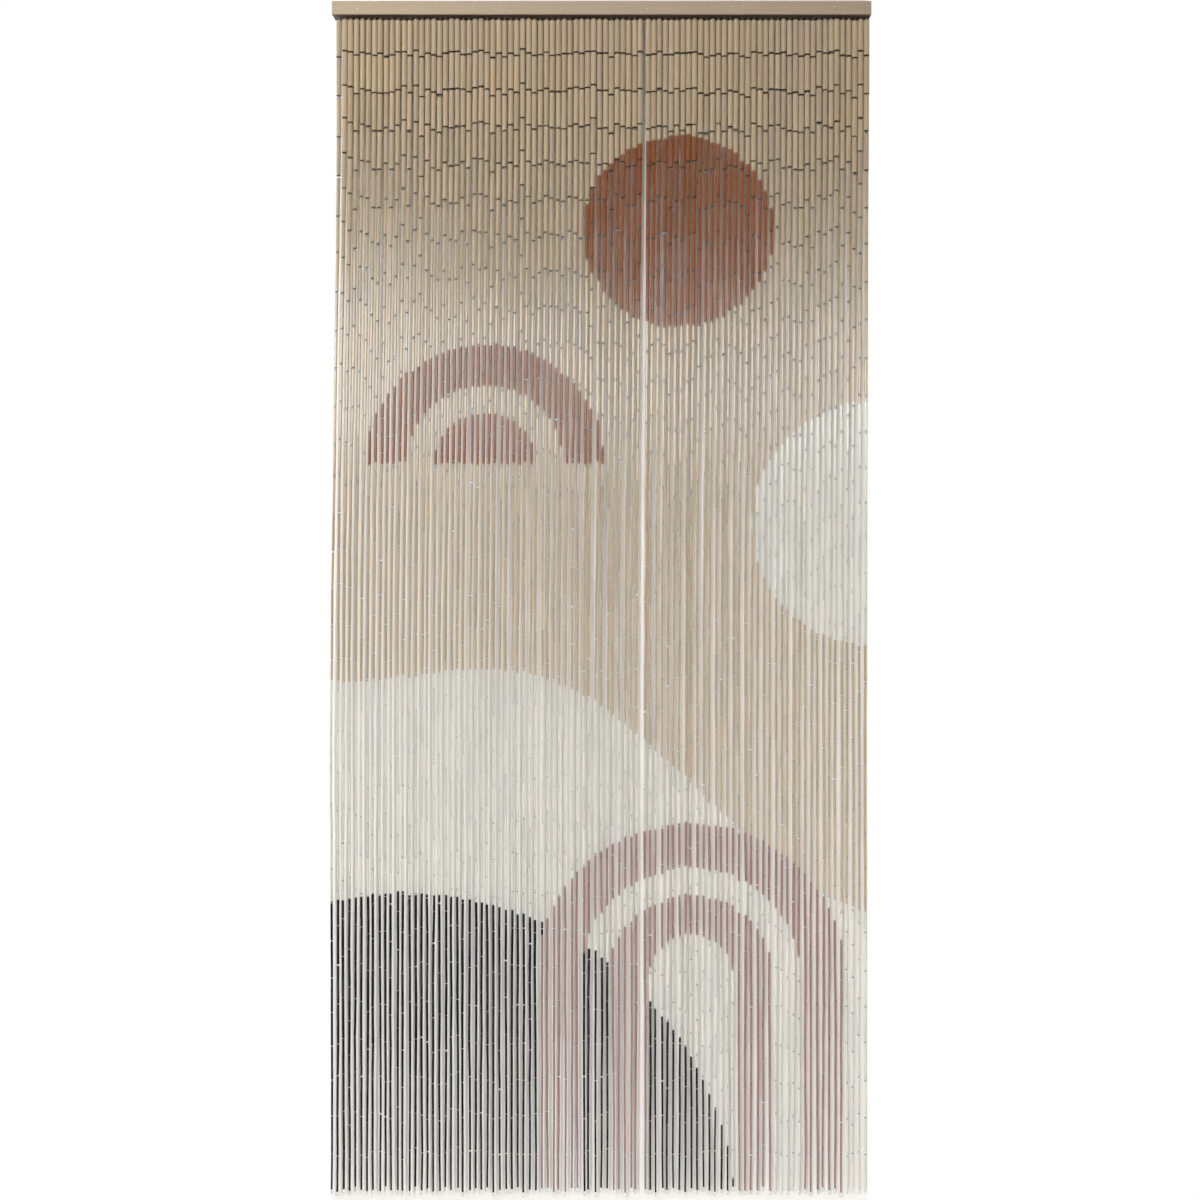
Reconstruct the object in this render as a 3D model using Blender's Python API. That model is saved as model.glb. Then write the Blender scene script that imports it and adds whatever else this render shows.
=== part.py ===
"""Bamboo door curtain: strands of painted reed tubes hanging from a wooden head rail.

All sizes are in metres. X runs across the doorway, +Z is up, and the viewer stands on
the -Y side. The origin is the centre of the rail's back face, which lies on the wall.
"""

import math

import bmesh
import bpy
from mathutils import Vector

# Head rail: a painted wooden batten
RAIL_WIDTH = 0.900
RAIL_DEPTH = 0.028
RAIL_HEIGHT = 0.023
RAIL_EDGE = 0.0012
RAIL_EDGE_STEPS = 2

# The clear space that is left between two pieces that touch
FIT_GAP = 0.0003

# Row of wire eyes under the rail, as one narrow strip with a neck for each strand
STRAND_COUNT = 90
STRAND_PITCH = 0.00994
ROW_MIDDLE = 0.0018
ROW_Y = -RAIL_DEPTH / 2
STRIP_HEIGHT = 0.0016
STRIP_DEPTH = 0.0028
NECK_WIDTH = 0.0024
NECK_DROP = 0.0050

# A strand, cut from one reed whose thick top thins out by a quarter of the way down
TUBE_SPAN = 1.9600
REED_WIDTH = 0.0040
REED_SWELL = 0.0050
REED_TAPER = 0.165
TAPER_POWER = 2.2
TUBE_STEPS = 8
STEP_CROWDING = 1.5
SHOULDER_DROP = 0.0006

# The wire loop at the foot of a strand
LOOP_STEM_WIDTH = 0.0016
LOOP_WIDTH = 0.0052
LOOP_TIP_WIDTH = 0.0026
LOOP_THICKNESS = 0.0010
LOOP_DROP = 0.0080

# How the strands hang: the row spreads to the left lower down, and each strand wanders
SPREAD_LEFT = 0.0125
SPREAD_RIGHT = 0.0022
SPREAD_DEPTH = 1.20
WANDER_TOP = 0.0002
WANDER_FOOT = 0.0012
FOOT_UNEVENNESS = 0.0050

# The waves of that wandering: the turn from strand to strand and the turn down a strand
ACROSS_WAVE = (2.4, 8.0)
ACROSS_WAVE_SHARE = 0.6
RIPPLE = (5.3, 17.0)
RIPPLE_SHARE = 0.4
FORWARD_WAVE = (3.7, 6.0)
FOOT_WAVES = (1.9, 0.7)

# Plain finishes: linear colour and roughness
RAIL_FINISH = ((0.41, 0.35, 0.26), 0.55)
REED_FINISH = ((0.48, 0.39, 0.28), 0.6)

RAIL_BOTTOM = -RAIL_HEIGHT / 2
STRIP_TOP = RAIL_BOTTOM - FIT_GAP
TUBES_TOP = RAIL_BOTTOM - NECK_DROP
ROW_LEFT = ROW_MIDDLE - (STRAND_COUNT - 1) * STRAND_PITCH / 2


def clear_scene():
    """Remove every object that the file starts with."""
    for item in list(bpy.data.objects):
        bpy.data.objects.remove(item, do_unlink=True)


def make_finish(name, colour, roughness):
    """A plain painted finish."""
    finish = bpy.data.materials.new(name)
    finish.use_nodes = True
    shader = finish.node_tree.nodes["Principled BSDF"]
    shader.inputs["Base Color"].default_value = (*colour, 1.0)
    shader.inputs["Roughness"].default_value = roughness
    shader.inputs["Metallic"].default_value = 0.0
    return finish


def add_piece(name, shape, finish):
    """Put a finished bmesh in the scene as one named object."""
    bmesh.ops.recalc_face_normals(shape, faces=shape.faces)
    mesh = bpy.data.meshes.new(name)
    shape.to_mesh(mesh)
    shape.free()
    mesh.materials.append(finish)
    piece = bpy.data.objects.new(name, mesh)
    bpy.context.scene.collection.objects.link(piece)
    return piece


def head_rail():
    """The batten, with its long edges and its ends slightly broken."""
    shape = bmesh.new()
    bmesh.ops.create_cube(shape, size=1.0)
    bmesh.ops.scale(shape, vec=(RAIL_WIDTH, RAIL_DEPTH, RAIL_HEIGHT), verts=shape.verts)
    bmesh.ops.translate(shape, vec=(0.0, -RAIL_DEPTH / 2, 0.0), verts=shape.verts)
    bmesh.ops.bevel(
        shape,
        geom=list(shape.edges),
        affect="EDGES",
        offset=RAIL_EDGE,
        segments=RAIL_EDGE_STEPS,
        profile=0.5,
        material=-1,
    )
    return shape


def smooth_step(share):
    """A share from 0 to 1 that starts and ends softly."""
    share = min(max(share, 0.0), 1.0)
    return share * share * (3.0 - 2.0 * share)


def wave(turns, strand, share):
    """A wave's height from -1 to 1 on one strand, at a share of the way down."""
    return math.sin(turns[0] * strand + turns[1] * share)


def strand_centre(strand, drop):
    """Where a strand's middle hangs, at a distance below its first tube's top."""
    place = ROW_LEFT + strand * STRAND_PITCH
    from_right = 1.0 - strand / (STRAND_COUNT - 1)
    spread = SPREAD_RIGHT + (SPREAD_LEFT - SPREAD_RIGHT) * from_right
    drift = spread * smooth_step(drop / SPREAD_DEPTH)
    share = drop / TUBE_SPAN
    reach = WANDER_TOP + (WANDER_FOOT - WANDER_TOP) * share
    across = ACROSS_WAVE_SHARE * wave(ACROSS_WAVE, strand, share) + RIPPLE_SHARE * wave(RIPPLE, strand, share)
    forward = wave(FORWARD_WAVE, strand, share)
    return place - drift + reach * across, ROW_Y + reach * forward


def reed_width(share):
    """The reed's thickness, from its top (share 0) to its foot (share 1)."""
    return REED_WIDTH + REED_SWELL / (1.0 + (share / REED_TAPER) ** TAPER_POWER)


def strand_span(strand):
    """The length of a strand's tubes, a little different on each."""
    return TUBE_SPAN + FOOT_UNEVENNESS * math.sin(FOOT_WAVES[0] * strand) * math.cos(FOOT_WAVES[1] * strand)


def strand_sections(strand):
    """The rectangles that a strand passes through, as (drop, width, depth), from its neck down."""
    span = strand_span(strand)
    sections = [(0.0, NECK_WIDTH, STRIP_DEPTH)]
    for step in range(TUBE_STEPS + 1):
        share = (step / TUBE_STEPS) ** STEP_CROWDING
        width = reed_width(share)
        drop = SHOULDER_DROP + share * (span - SHOULDER_DROP)
        sections.append((drop, width, width))
    sections.append((span + SHOULDER_DROP, LOOP_STEM_WIDTH, LOOP_THICKNESS))
    sections.append((span + LOOP_DROP / 2, LOOP_WIDTH, LOOP_THICKNESS))
    sections.append((span + LOOP_DROP, LOOP_TIP_WIDTH, LOOP_THICKNESS))
    return sections


def strip_cells():
    """The strip's cuts from left to right: a neck's width, then the space to the next neck."""
    cuts = []
    for strand in range(STRAND_COUNT):
        middle = ROW_LEFT + strand * STRAND_PITCH
        cuts.append(middle - NECK_WIDTH / 2)
        cuts.append(middle + NECK_WIDTH / 2)
    return cuts


def backing_strip(shape):
    """Build the strip cell by cell and return the underside of each neck, left to right."""
    cuts = strip_cells()
    first, second = cuts[0], cuts[1]
    bmesh.ops.create_cube(shape, size=1.0)
    bmesh.ops.scale(shape, vec=(second - first, STRIP_DEPTH, STRIP_HEIGHT), verts=shape.verts)
    middle = Vector(((first + second) / 2, ROW_Y, STRIP_TOP - STRIP_HEIGHT / 2))
    bmesh.ops.translate(shape, vec=middle, verts=shape.verts)
    end = max(shape.faces, key=lambda face: face.calc_center_median().x)
    for near, far in zip(cuts[1:], cuts[2:]):
        end = draw_out(shape, [end])[0]
        bmesh.ops.translate(shape, vec=(far - near, 0.0, 0.0), verts=end.verts)
    shape.normal_update()
    undersides = [face for face in shape.faces if is_neck_underside(face)]
    return sorted(undersides, key=lambda face: face.calc_center_median().x)


def draw_out(shape, ends):
    """Start a new section at each end face, not yet moved, and return the new ends, left to right."""
    grown = bmesh.ops.extrude_face_region(shape, geom=ends)["geom"]
    bmesh.ops.delete(shape, geom=ends, context="FACES_ONLY")
    tips = [part for part in grown if isinstance(part, bmesh.types.BMFace)]
    return sorted(tips, key=lambda face: face.calc_center_median().x)


def is_neck_underside(face):
    """Whether a face of the strip looks down and is as wide as a neck."""
    across = [corner.co.x for corner in face.verts]
    width = max(across) - min(across)
    low = face.calc_center_median().z < STRIP_TOP - STRIP_HEIGHT + FIT_GAP
    return low and abs(width - NECK_WIDTH) < FIT_GAP


def place_section(tip, middle, width, depth):
    """Move a rectangle's corners to a new middle and size, keeping which corner is which."""
    old = tip.calc_center_median()
    for corner in tip.verts:
        side = math.copysign(0.5, corner.co.x - old.x)
        front = math.copysign(0.5, corner.co.y - old.y)
        corner.co = middle + Vector((side * width, front * depth, 0.0))


def reed_strands():
    """The backing strip with all its strands drawn down from it, as one closed shape."""
    shape = bmesh.new()
    tips = backing_strip(shape)
    plans = [strand_sections(strand) for strand in range(STRAND_COUNT)]
    for step in range(len(plans[0])):
        tips = draw_out(shape, tips)
        for strand, tip in enumerate(tips):
            drop, width, depth = plans[strand][step]
            across, forward = strand_centre(strand, drop)
            middle = Vector((across, forward, TUBES_TOP - drop))
            place_section(tip, middle, width, depth)
    return shape


def main():
    """Build the curtain."""
    clear_scene()
    rail_finish = make_finish("rail_paint", *RAIL_FINISH)
    reed_finish = make_finish("reed_paint", *REED_FINISH)
    add_piece("head_rail", head_rail(), rail_finish)
    add_piece("reed_strands", reed_strands(), reed_finish)


main()
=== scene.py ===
"""Bamboo door curtain: painted reed tubes, wired into strands under a wooden head rail.

Sizes are in metres, in the frame of the solids: X runs across the doorway, the viewer
stands on the -Y side, +Z is up, and the origin is the centre of the rail's back face.
"""

import logging
import math
from dataclasses import dataclass, field
from enum import Enum

import bmesh
import bpy
import numpy as np
from mathutils import Matrix, Vector

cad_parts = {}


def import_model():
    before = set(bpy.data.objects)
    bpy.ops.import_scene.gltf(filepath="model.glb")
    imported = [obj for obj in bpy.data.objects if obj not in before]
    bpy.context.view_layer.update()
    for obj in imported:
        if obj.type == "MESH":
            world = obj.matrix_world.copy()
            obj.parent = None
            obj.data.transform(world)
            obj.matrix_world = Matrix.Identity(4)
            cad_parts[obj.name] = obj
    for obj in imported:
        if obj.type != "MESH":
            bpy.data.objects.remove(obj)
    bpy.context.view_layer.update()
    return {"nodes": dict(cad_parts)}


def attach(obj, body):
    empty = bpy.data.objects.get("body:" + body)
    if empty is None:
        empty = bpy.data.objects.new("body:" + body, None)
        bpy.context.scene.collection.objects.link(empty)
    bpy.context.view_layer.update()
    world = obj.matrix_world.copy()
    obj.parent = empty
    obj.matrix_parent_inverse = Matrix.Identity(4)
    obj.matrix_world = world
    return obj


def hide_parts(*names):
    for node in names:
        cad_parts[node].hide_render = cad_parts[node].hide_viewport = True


LOG = logging.getLogger("door_curtain")

# The facts that each tube's points carry for its paint: the strand's place across, the
# design's lift and the height along the tube, then a tone, a seed and half the length
PLACE_FACT = "reed_place"
MARKS_FACT = "reed_marks"

# The fibre noise: how much finer its second layer is, and the share of each layer
FINE_OVER_BROAD = 3.1
BROAD_SHARE = 0.65
FINE_SHARE = 0.35

# The fibre heights between which a finish goes from its smoothest to its roughest
FIBRE_RANGE = (0.3, 0.7)

# Where in the blotchy noise the dust starts, and where it is full
DUST_EDGE = (0.45, 0.75)

Socket = bpy.types.NodeSocket
Setting = float | tuple | Socket


class PaintTone(Enum):
    """The paints on the reeds, as linear colours."""

    BEIGE = (0.484, 0.382, 0.258)
    CREAM = (0.640, 0.625, 0.575)
    RUST = (0.246, 0.085, 0.034)
    PINK = (0.300, 0.168, 0.148)
    CHARCOAL = (0.0046, 0.0044, 0.0057)


class Side(Enum):
    """The half of a figure that is painted."""

    UPPER = 1.0
    LOWER = -1.0


class Wiring:
    """Adds nodes to one node tree and joins them up."""

    def __init__(self, tree: bpy.types.NodeTree) -> None:
        """Start on a tree.

        Args:
            tree: The node tree to add to.
        """
        self.tree = tree

    def add(self, kind: str, **settings: object) -> bpy.types.Node:
        """Add one node.

        Args:
            kind: Blender's name for the node type.
            **settings: Properties to set on it.

        Returns:
            The new node.
        """
        node = self.tree.nodes.new(kind)
        for name, value in settings.items():
            setattr(node, name, value)
        return node

    def feed(self, target: Socket, value: Setting) -> None:
        """Give an input socket a number, a colour or another node's output.

        Args:
            target: The input socket.
            value: What it gets.
        """
        if isinstance(value, Socket):
            self.tree.links.new(value, target)
        elif isinstance(value, tuple) and target.type == "RGBA":
            target.default_value = (*value[:3], 1.0)
        else:
            target.default_value = value

    def math(self, operation: str, first: Setting, second: Setting = 0.0) -> Socket:
        """Work out one number from one or two others.

        Args:
            operation: Blender's name for the operation.
            first: The first operand.
            second: The second operand, where there is one.

        Returns:
            The result's socket.
        """
        node = self.add("ShaderNodeMath", operation=operation)
        self.feed(node.inputs[0], first)
        self.feed(node.inputs[1], second)
        return node.outputs[0]

    def vector_math(self, operation: str, first: Setting, second: Setting) -> Socket:
        """Work out one vector from two others.

        Args:
            operation: Blender's name for the operation.
            first: The first vector.
            second: The second vector.

        Returns:
            The result's socket.
        """
        node = self.add("ShaderNodeVectorMath", operation=operation)
        self.feed(node.inputs[0], first)
        self.feed(node.inputs[1], second)
        return node.outputs["Value" if operation in ("DISTANCE", "LENGTH") else "Vector"]

    def ramp(self, value: Setting, start: float, end: float, low: float = 0.0, high: float = 1.0) -> Socket:
        """Turn a stretch of values into another, clamped at both ends.

        Args:
            value: The number to read.
            start: The value that gives low.
            end: The value that gives high.
            low: The result at start.
            high: The result at end.

        Returns:
            The result's socket.
        """
        node = self.add("ShaderNodeMapRange", clamp=True)
        for name, given in (("Value", value), ("From Min", start), ("From Max", end)):
            self.feed(node.inputs[name], given)
        for name, given in (("To Min", low), ("To Max", high)):
            self.feed(node.inputs[name], given)
        return node.outputs["Result"]

    def mix(self, share: Setting, first: Setting, second: Setting, blend: str = "MIX") -> Socket:
        """Mix two colours.

        Args:
            share: How much of the second colour is used.
            first: The colour at share 0.
            second: The colour at share 1.
            blend: Blender's name for the way of mixing.

        Returns:
            The mixed colour's socket.
        """
        node = self.add("ShaderNodeMix", data_type="RGBA", blend_type=blend)
        self.feed(node.inputs[0], share)
        self.feed(node.inputs[6], first)
        self.feed(node.inputs[7], second)
        return node.outputs[2]

    def split(self, vector: Socket) -> tuple[Socket, Socket, Socket]:
        """Take a vector apart.

        Args:
            vector: The vector's socket.

        Returns:
            Its three numbers.
        """
        node = self.add("ShaderNodeSeparateXYZ")
        self.feed(node.inputs[0], vector)
        return tuple(node.outputs)

    def join(self, x: Setting, y: Setting, z: Setting) -> Socket:
        """Make a vector of three numbers.

        Args:
            x: The first number.
            y: The second number.
            z: The third number.

        Returns:
            The vector's socket.
        """
        node = self.add("ShaderNodeCombineXYZ")
        for target, value in zip(node.inputs, (x, y, z)):
            self.feed(target, value)
        return node.outputs[0]

    def noise(self, vector: Socket, scale: Setting, detail: float = 2.0, roughness: float = 0.5) -> Socket:
        """Read a soft random value.

        Args:
            vector: Where to read it.
            scale: How fine it is.
            detail: How many finer layers it has.
            roughness: How strong the finer layers are.

        Returns:
            The value's socket, about 0.5 on average.
        """
        node = self.add("ShaderNodeTexNoise", noise_dimensions="3D")
        self.feed(node.inputs["Vector"], vector)
        self.feed(node.inputs["Scale"], scale)
        self.feed(node.inputs["Detail"], detail)
        self.feed(node.inputs["Roughness"], roughness)
        return node.outputs["Fac"]

    def group(self, tree: bpy.types.NodeTree, **values: Setting) -> dict[str, Socket]:
        """Place a node group.

        Args:
            tree: The group.
            **values: What its inputs get, by name, with _ for each space.

        Returns:
            Its outputs by name.
        """
        node = self.add("ShaderNodeGroup", node_tree=tree)
        for name, value in values.items():
            self.feed(node.inputs[name.replace("_", " ")], value)
        return {output.name: output for output in node.outputs}

    def shade(self, colour: Setting, value: Socket) -> Socket:
        """Darken or lighten a colour by a number."""
        return self.mix(1.0, colour, self.join(value, value, value), "MULTIPLY")

    def relief(self, height: Socket, strength: float, depth: float) -> Socket:
        """Tilt the surface by a height.

        Args:
            height: The height's socket.
            strength: How much of the tilt is used.
            depth: How deep the relief is.

        Returns:
            The normal's socket.
        """
        node = self.add("ShaderNodeBump")
        node.inputs["Strength"].default_value = strength
        node.inputs["Distance"].default_value = depth
        self.feed(node.inputs["Height"], height)
        return node.outputs["Normal"]

    def place(self) -> Socket:
        """The Object coordinates' socket."""
        return self.add("ShaderNodeTexCoord").outputs["Object"]

    def attribute(self, name: str) -> Socket:
        """A mesh attribute, read as a vector.

        Args:
            name: The attribute's name.

        Returns:
            The vector's socket.
        """
        return self.add("ShaderNodeAttribute", attribute_name=name).outputs["Vector"]


def new_group(name: str, inputs: dict[str, tuple[str, float]], outputs: dict[str, str]) -> tuple:
    """Start a shader node group.

    Args:
        name: The group's name.
        inputs: Each input's kind and default value, by name.
        outputs: Each output's kind, by name.

    Returns:
        The group, its wiring, its inputs by name and the node that takes its outputs.
    """
    tree = bpy.data.node_groups.new(name, "ShaderNodeTree")
    for label, (kind, value) in inputs.items():
        made = tree.interface.new_socket(label, in_out="INPUT", socket_type=f"NodeSocket{kind}")
        if kind == "Float":
            made.default_value = value
    for label, kind in outputs.items():
        tree.interface.new_socket(label, in_out="OUTPUT", socket_type=f"NodeSocket{kind}")
    wiring = Wiring(tree)
    entry = wiring.add("NodeGroupInput")
    given = {output.name: output for output in entry.outputs if output.name}
    return tree, wiring, given, wiring.add("NodeGroupOutput")


def grain_group() -> bpy.types.NodeTree:
    """Long wood fibres under paint, as a value and a height, for rail and reeds.

    Returns:
        The node group.
    """
    inputs = {"Place": ("Vector", 0.0), "Fineness": ("Float", 900.0), "Contrast": ("Float", 1.0)}
    outputs = {"Streak": "Float", "Height": "Float"}
    tree, wiring, given, exit_node = new_group("wood_fibres", inputs, outputs)
    broad = wiring.noise(given["Place"], given["Fineness"], 3.0, 0.6)
    finer = wiring.math("MULTIPLY", given["Fineness"], FINE_OVER_BROAD)
    fine = wiring.noise(given["Place"], finer, 2.0, 0.5)
    both = wiring.math(
        "ADD", wiring.math("MULTIPLY", broad, BROAD_SHARE), wiring.math("MULTIPLY", fine, FINE_SHARE)
    )
    centred = wiring.math("SUBTRACT", both, 0.5)
    streak = wiring.math("MULTIPLY", centred, wiring.math("MULTIPLY", given["Contrast"], 2.0))
    wiring.feed(exit_node.inputs["Streak"], streak)
    wiring.feed(exit_node.inputs["Height"], both)
    return tree


def grime_group() -> bpy.types.NodeTree:
    """Faint blotches of dust and handling, for every finish.

    Returns:
        The node group.
    """
    inputs = {"Place": ("Vector", 0.0), "Size": ("Float", 25.0), "Amount": ("Float", 0.3)}
    tree, wiring, given, exit_node = new_group("dust_and_handling", inputs, {"Mask": "Float"})
    blotch = wiring.noise(given["Place"], given["Size"], 4.0, 0.65)
    mask = wiring.ramp(blotch, *DUST_EDGE)
    wiring.feed(exit_node.inputs["Mask"], wiring.math("MULTIPLY", mask, given["Amount"]))
    return tree


@dataclass(frozen=True)
class Disc:
    """A full circle of paint.

    Args:
        x: The place across of its centre.
        z: The height of its centre.
        radius: Its radius.
    """

    x: float
    z: float
    radius: float

    def distance(self, wiring: Wiring, x: Socket, z: Socket) -> Socket:
        """How far a point lies outside the circle.

        Args:
            wiring: The tree to work in.
            x: The point's place across.
            z: The point's height.

        Returns:
            The distance's socket, below 0 inside.
        """
        reach = wiring.vector_math("DISTANCE", wiring.join(x, 0.0, z), (self.x, 0.0, self.z))
        return wiring.math("SUBTRACT", reach, self.radius)


@dataclass(frozen=True)
class HalfDisc:
    """Half a circle of paint with a level straight side.

    Args:
        x: The place across of the circle's centre.
        z: The height of that centre.
        radius: The circle's radius.
        side: The half that is painted.
    """

    x: float
    z: float
    radius: float
    side: Side = Side.LOWER

    def distance(self, wiring: Wiring, x: Socket, z: Socket) -> Socket:
        """How far a point lies outside the half circle.

        Args:
            wiring: The tree to work in.
            x: The point's place across.
            z: The point's height.

        Returns:
            The distance's socket, below 0 inside.
        """
        whole = Disc(self.x, self.z, self.radius).distance(wiring, x, z)
        above = wiring.math("SUBTRACT", z, self.z)
        cut = wiring.math("MULTIPLY", above, -self.side.value)
        return wiring.math("MAXIMUM", whole, cut)


@dataclass(frozen=True)
class Arch:
    """A band of paint that runs up, round a half circle and down.

    Args:
        x: The place across of its half circle's centre.
        z: The height of that centre.
        radius: The radius of the band's middle line.
        width: The band's width.
        foot: The height at which it ends.
    """

    x: float
    z: float
    radius: float
    width: float
    foot: float

    def distance(self, wiring: Wiring, x: Socket, z: Socket) -> Socket:
        """How far a point lies outside the band.

        Args:
            wiring: The tree to work in.
            x: The point's place across.
            z: The point's height.

        Returns:
            The distance's socket, below 0 inside.
        """
        above = wiring.math("MAXIMUM", wiring.math("SUBTRACT", z, self.z), 0.0)
        across = wiring.math("SUBTRACT", x, self.x)
        reach = wiring.vector_math("DISTANCE", wiring.join(across, 0.0, above), (0.0, 0.0, 0.0))
        off = wiring.math("ABSOLUTE", wiring.math("SUBTRACT", reach, self.radius))
        band = wiring.math("SUBTRACT", off, self.width / 2)
        return wiring.math("MAXIMUM", band, wiring.math("SUBTRACT", self.foot, z))


@dataclass(frozen=True)
class Dune:
    """Everything above a slanting wave.

    Args:
        level: The height of its middle line at the middle of the doorway.
        slope: How far that line rises for each metre to the right.
        swing: How far the wave swings above and below it.
        length: The length of one wave.
        start: The place across where a wave starts to rise.
    """

    level: float
    slope: float
    swing: float
    length: float
    start: float

    def distance(self, wiring: Wiring, x: Socket, z: Socket) -> Socket:
        """How far a point lies below the wave.

        Args:
            wiring: The tree to work in.
            x: The point's place across.
            z: The point's height.

        Returns:
            The distance's socket, below 0 above the wave.
        """
        turn = wiring.math("MULTIPLY", wiring.math("SUBTRACT", x, self.start), math.tau / self.length)
        wave = wiring.math("MULTIPLY", wiring.math("SINE", turn), self.swing)
        lean = wiring.math("ADD", wiring.math("MULTIPLY", x, self.slope), self.level)
        return wiring.math("SUBTRACT", wiring.math("ADD", lean, wave), z)


@dataclass(frozen=True)
class Layer:
    """One figure and the paint that it is filled with."""

    figure: Disc | HalfDisc | Arch | Dune
    tone: PaintTone


# The figures from first to last, each painted over the ones before it, on cream
DESIGN = (
    Layer(Dune(level=-1.24, slope=-0.42, swing=0.085, length=0.95, start=-0.30), PaintTone.BEIGE),
    Layer(Disc(x=0.46, z=-0.86, radius=0.205), PaintTone.CREAM),
    Layer(Disc(x=0.13, z=-0.37, radius=0.160), PaintTone.RUST),
    Layer(Arch(x=-0.19, z=-0.76, radius=0.165, width=0.068, foot=-0.76), PaintTone.RUST),
    Layer(HalfDisc(x=-0.19, z=-0.76, radius=0.085, side=Side.UPPER), PaintTone.RUST),
    Layer(Disc(x=-0.32, z=-2.03, radius=0.550), PaintTone.CHARCOAL),
    Layer(Arch(x=0.155, z=-1.62, radius=0.220, width=0.074, foot=-2.10), PaintTone.PINK),
    Layer(Arch(x=0.155, z=-1.62, radius=0.104, width=0.066, foot=-2.10), PaintTone.PINK),
)


@dataclass(frozen=True)
class ReedPaint:
    """Thin paint on reed, glossy but for the charcoal, with figures cut level on each tube.

    Args:
        edge: Half the width of a figure's soft edge.
        rosy: The tint of the reddest tube.
        sallow: The tint of the yellowest tube.
        tones: The shade of the darkest tube and of the lightest.
        fineness: How fine the fibres are.
        draw: The fibre noise's scale along the tube, beside 1 across it.
        fibre_shade: How strongly the fibres show.
        apart: How far each tube's noise is moved, across and in depth.
        bare: The tint of reed that shows through thin paint.
        patch_fineness: How fine the thin patches are.
        patch_draw: Their noise's scale along the tube, beside 1 across it.
        patch_bias: How much more of them a light tube has.
        patch_edge: Where in the noise a patch starts, and where it is full.
        rim_brown_and_shade: The dark brown of the rims: reed without its paint, and painted shade in the
            joints.
        rim: The distances from the sawn end at which the dark rim starts to fade and is gone.
        rim_wander: How uneven the dark rim is.
        rim_middle: The noise value at which the rim has its own width.
        rim_shade_heights: The heights between which the rims' wear and painted shade grow.
        wear_and_shade: The rims' wear and painted shade below those heights and above them.
        dust: The colour of dust.
        roughness: The paint's roughness in its smoothest and its roughest fibre.
        depth: The lengths of the colour vector between which paint goes from matt to glossy.
        coat: The gloss of the darkest paint, and of the others.
        coat_roughness: How soft the gloss is.
        coat_index: The gloss's index of refraction.
        specular: The shine of the paint under its gloss.
        relief: The bump's strength and depth.
    """

    edge: float = 0.0005
    rosy: tuple = (1.020, 0.992, 0.980)
    sallow: tuple = (0.980, 1.003, 0.965)
    tones: tuple = (0.91, 1.08)
    fineness: float = 620.0
    draw: float = 0.035
    fibre_shade: float = 0.22
    apart: tuple = (7.0, 3.0)
    bare: tuple = (1.04, 0.98, 0.84)
    patch_fineness: float = 170.0
    patch_draw: float = 0.16
    patch_bias: float = 0.16
    patch_edge: tuple = (0.73, 0.82)
    rim_brown_and_shade: tuple = (0.050, 0.033, 0.021)
    rim: tuple = (0.0003, 0.0010)
    rim_wander: float = 0.0022
    rim_middle: float = 0.40
    rim_shade_heights: tuple = (-1.10, -0.80)
    wear_and_shade: tuple = (0.25, 0.92)
    dust: tuple = (0.42, 0.38, 0.33)
    roughness: tuple = (0.15, 0.23)
    depth: tuple = (0.08, 0.60)
    coat: tuple = (0.06, 1.0)
    coat_roughness: float = 0.17
    coat_index: float = 2.00
    specular: float = 0.12
    relief: tuple = (0.06, 0.0003)

    def colour(self, wiring: Wiring, x: Socket, z: Socket) -> Socket:
        """The painted design at a point.

        Args:
            wiring: The tree to work in.
            x: The strand's place across.
            z: The height.

        Returns:
            The colour's socket.
        """
        paint: Setting = PaintTone.CREAM.value
        for layer in DESIGN:
            off = layer.figure.distance(wiring, x, z)
            share = wiring.ramp(off, -self.edge, self.edge, 1.0, 0.0)
            paint = wiring.mix(share, paint, layer.tone.value)
        return paint

    def build(self, fibres: bpy.types.NodeTree, dust: bpy.types.NodeTree) -> bpy.types.Material:
        """Make the material.

        Args:
            fibres: The wood fibre group.
            dust: The dust and handling group.

        Returns:
            The material.
        """
        material, wiring, shader = start_material("painted_reed")
        place = wiring.place()
        strand_x, lift, along = wiring.split(wiring.attribute(PLACE_FACT))
        tone, seed, half = wiring.split(wiring.attribute(MARKS_FACT))
        height = wiring.math("ADD", wiring.split(place)[2], lift)
        design = self.colour(wiring, strand_x, height)

        # Each tube reads the noise in another place
        across, inwards = (wiring.math("MULTIPLY", seed, turn) for turn in self.apart)
        apart = wiring.join(across, inwards, 0.0)
        drawn = wiring.vector_math("MULTIPLY", place, (1.0, 1.0, self.draw))
        own = wiring.vector_math("ADD", drawn, apart)
        streaks = wiring.group(fibres, Place=own, Fineness=self.fineness, Contrast=1.0)

        shaded = wiring.math("ADD", 1.0, wiring.math("MULTIPLY", streaks["Streak"], self.fibre_shade))
        own_tone = wiring.ramp(tone, 0.0, 1.0, *self.tones)
        toned = wiring.shade(design, wiring.math("MULTIPLY", shaded, own_tone))
        tinted = wiring.mix(1.0, toned, wiring.mix(seed, self.rosy, self.sallow), "MULTIPLY")

        # Thin paint shows the yellow reed in long patches on some tubes
        drawn_far = wiring.vector_math("MULTIPLY", place, (1.0, 1.0, self.patch_draw))
        thin = wiring.noise(wiring.vector_math("ADD", drawn_far, apart), self.patch_fineness, 2.0, 0.5)
        thinned = wiring.math("ADD", thin, wiring.math("MULTIPLY", tone, self.patch_bias))
        showing = wiring.mix(1.0, tinted, self.bare, "MULTIPLY")
        patched = wiring.mix(wiring.ramp(thinned, *self.patch_edge), tinted, showing)
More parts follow.
